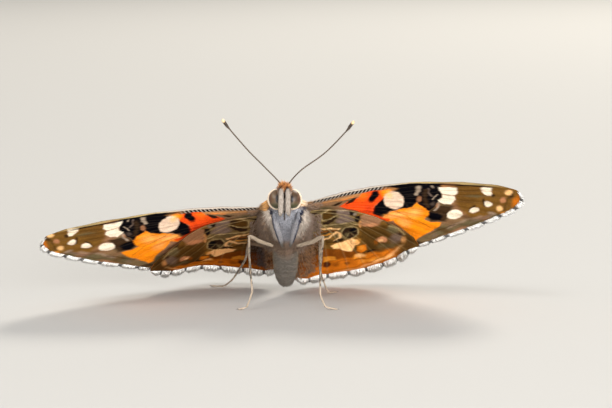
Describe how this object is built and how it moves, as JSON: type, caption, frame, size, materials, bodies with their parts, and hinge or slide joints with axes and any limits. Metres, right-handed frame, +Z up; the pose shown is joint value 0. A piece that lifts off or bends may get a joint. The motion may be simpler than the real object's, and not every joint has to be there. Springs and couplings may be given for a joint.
{
  "type": "painted lady butterfly",
  "caption": "Life-size painted lady butterfly standing with its wings spread, orange, black and white with marbled brown undersides, long clubbed antennae.",
  "frame": {"origin": "middle of the whole box, on the floor under the four feet", "axes": "+X towards the butterfly's left wing tip, -Y the way it faces, +Z up"},
  "size_m": [0.0582, 0.029, 0.0241],
  "materials": {
    "body_fur": "short soft fur, taupe to grey-brown",
    "pale_fur": "short pale blue-grey fur with dark lines",
    "eye": "fine-faceted mauve-brown compound eye with a cream rim",
    "horn": "dark brown, faintly banded, club tipped with cream",
    "leg": "tan-grey scales with dark specks, pale feet",
    "forewing_scales": "orange, black and white scales, olive-brown tip, white-dashed fringe",
    "hindwing_scales": "marbled brown, cream and orange scales, white scalloped fringe"
  },
  "bodies": {
    "root": {"head": "body_fur", "thorax": "body_fur", "abdomen": "body_fur", "eye_left": "eye", "eye_right": "eye", "palp_left": "pale_fur", "palp_right": "pale_fur", "foreleg_left": "pale_fur", "foreleg_right": "pale_fur", "proboscis": "horn", "antenna_left": "horn", "antenna_right": "horn", "midleg_left": "leg", "midleg_right": "leg", "hindleg_left": "leg", "hindleg_right": "leg", "forewing_left": "forewing_scales", "forewing_right": "forewing_scales", "hindwing_left": "hindwing_scales", "hindwing_right": "hindwing_scales"}
  },
  "joints": []
}
